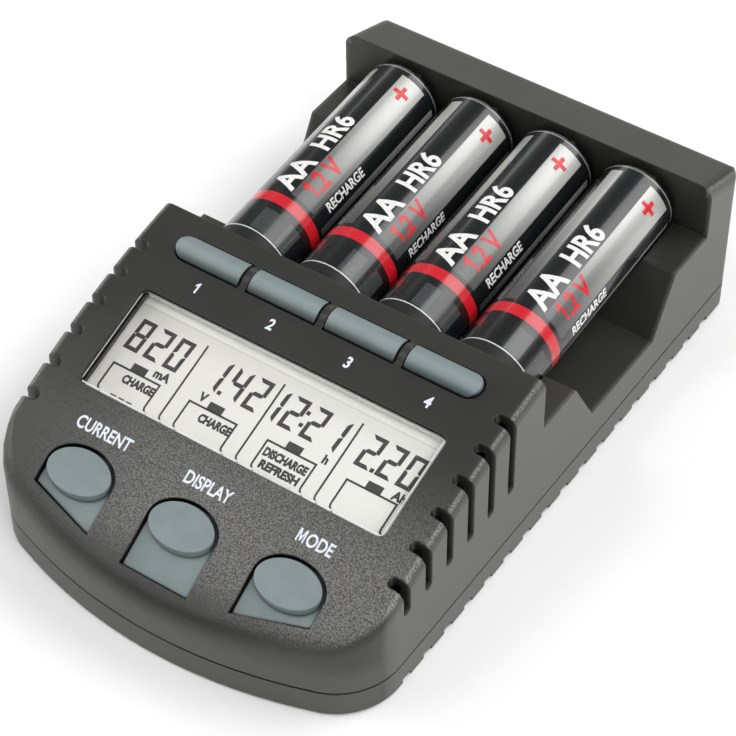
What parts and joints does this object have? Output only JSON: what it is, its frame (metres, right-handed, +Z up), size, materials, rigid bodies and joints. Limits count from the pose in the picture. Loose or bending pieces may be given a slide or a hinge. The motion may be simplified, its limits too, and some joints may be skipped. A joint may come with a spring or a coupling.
{
  "type": "battery charger",
  "caption": "Desktop charger for AA cells: sloping panel with display and keys, open stepped bay with sliding spring contacts, sleeved cells in place.",
  "frame": {"origin": "middle of the footprint, on the table under the rubber feet", "axes": "+X to the user's right, +Y from the bowed front to the rear wall, +Z up from the table"},
  "size_m": [0.075, 0.1219, 0.0344],
  "materials": {
    "casing": "fine spark-eroded grain",
    "keys": "satin",
    "clear_plastic": "polished, hard-coated",
    "display_glass": "satin polariser",
    "white_plastic": "smooth",
    "strip_rubber": "smooth",
    "circuit_board": "solder resist",
    "black_plastic": "moulded",
    "steel": "zinc plated",
    "contact_metal": "nickel plated",
    "spring_steel": "drawn wire",
    "cell_sleeve": "glossy printed sleeve",
    "link_tape": "smooth",
    "ferrite": "sintered",
    "can_sleeve": "shrink sleeve",
    "sensor_coat": "dipped",
    "rubber": "matt"
  },
  "bodies": {
    "charger": {"upper_casing": "casing", "lower_casing": "casing", "display_window": "clear_plastic", "lcd_panel": "display_glass", "lcd_reflector": "white_plastic", "lcd_frame": "white_plastic", "contact_strips": "strip_rubber", "display_board": "circuit_board", "key_switches": "black_plastic", "display_board_screws": "steel", "positive_contact_1": "contact_metal", "positive_contact_2": "contact_metal", "positive_contact_3": "contact_metal", "positive_contact_4": "contact_metal", "slider_spring_1": "spring_steel", "slider_spring_2": "spring_steel", "slider_spring_3": "spring_steel", "slider_spring_4": "spring_steel", "cell_1": "cell_sleeve", "cell_2": "cell_sleeve", "cell_3": "cell_sleeve", "cell_4": "cell_sleeve", "main_board": "circuit_board", "board_link": "link_tape", "controller_chip": "black_plastic", "power_transistors": "black_plastic", "power_coils": "ferrite", "capacitors": "can_sleeve", "temperature_sensors": "sensor_coat", "power_inlet": "black_plastic", "case_screws": "steel", "rubber_feet": "rubber"},
    "current_key": {"current_key": "keys"},
    "display_key": {"display_key": "keys"},
    "mode_key": {"mode_key": "keys"},
    "slot_key_1": {"slot_key_1": "keys"},
    "slot_key_2": {"slot_key_2": "keys"},
    "slot_key_3": {"slot_key_3": "keys"},
    "slot_key_4": {"slot_key_4": "keys"},
    "negative_slider_1": {"negative_slider_1": "contact_metal"},
    "negative_slider_2": {"negative_slider_2": "contact_metal"},
    "negative_slider_3": {"negative_slider_3": "contact_metal"},
    "negative_slider_4": {"negative_slider_4": "contact_metal"}
  },
  "joints": [
    {"name": "current_key_press", "type": "slide", "parent": "charger", "child": "current_key", "axis": [0, 0.319, -0.9478], "range_m": [0, 0.0006], "stiffness_N_per_m": 400, "springref_m": -0.0003},
    {"name": "display_key_press", "type": "slide", "parent": "charger", "child": "display_key", "axis": [0, 0.319, -0.9478], "range_m": [0, 0.0006], "stiffness_N_per_m": 400, "springref_m": -0.0003},
    {"name": "mode_key_press", "type": "slide", "parent": "charger", "child": "mode_key", "axis": [0, 0.319, -0.9478], "range_m": [0, 0.0006], "stiffness_N_per_m": 400, "springref_m": -0.0003},
    {"name": "slot_key_1_press", "type": "slide", "parent": "charger", "child": "slot_key_1", "axis": [0, 0.319, -0.9478], "range_m": [0, 0.0006], "stiffness_N_per_m": 400, "springref_m": -0.0003},
    {"name": "slot_key_2_press", "type": "slide", "parent": "charger", "child": "slot_key_2", "axis": [0, 0.319, -0.9478], "range_m": [0, 0.0006], "stiffness_N_per_m": 400, "springref_m": -0.0003},
    {"name": "slot_key_3_press", "type": "slide", "parent": "charger", "child": "slot_key_3", "axis": [0, 0.319, -0.9478], "range_m": [0, 0.0006], "stiffness_N_per_m": 400, "springref_m": -0.0003},
    {"name": "slot_key_4_press", "type": "slide", "parent": "charger", "child": "slot_key_4", "axis": [0, 0.319, -0.9478], "range_m": [0, 0.0006], "stiffness_N_per_m": 400, "springref_m": -0.0003},
    {"name": "negative_slider_1_slide", "type": "slide", "parent": "charger", "child": "negative_slider_1", "axis": [0, -1, 0], "range_m": [0, 0.0012], "stiffness_N_per_m": 500, "springref_m": -0.0005, "deforming": ["slider_spring_1"]},
    {"name": "negative_slider_2_slide", "type": "slide", "parent": "charger", "child": "negative_slider_2", "axis": [0, -1, 0], "range_m": [0, 0.0012], "stiffness_N_per_m": 500, "springref_m": -0.0005, "deforming": ["slider_spring_2"]},
    {"name": "negative_slider_3_slide", "type": "slide", "parent": "charger", "child": "negative_slider_3", "axis": [0, -1, 0], "range_m": [0, 0.0012], "stiffness_N_per_m": 500, "springref_m": -0.0005, "deforming": ["slider_spring_3"]},
    {"name": "negative_slider_4_slide", "type": "slide", "parent": "charger", "child": "negative_slider_4", "axis": [0, -1, 0], "range_m": [0, 0.0012], "stiffness_N_per_m": 500, "springref_m": -0.0005, "deforming": ["slider_spring_4"]}
  ]
}
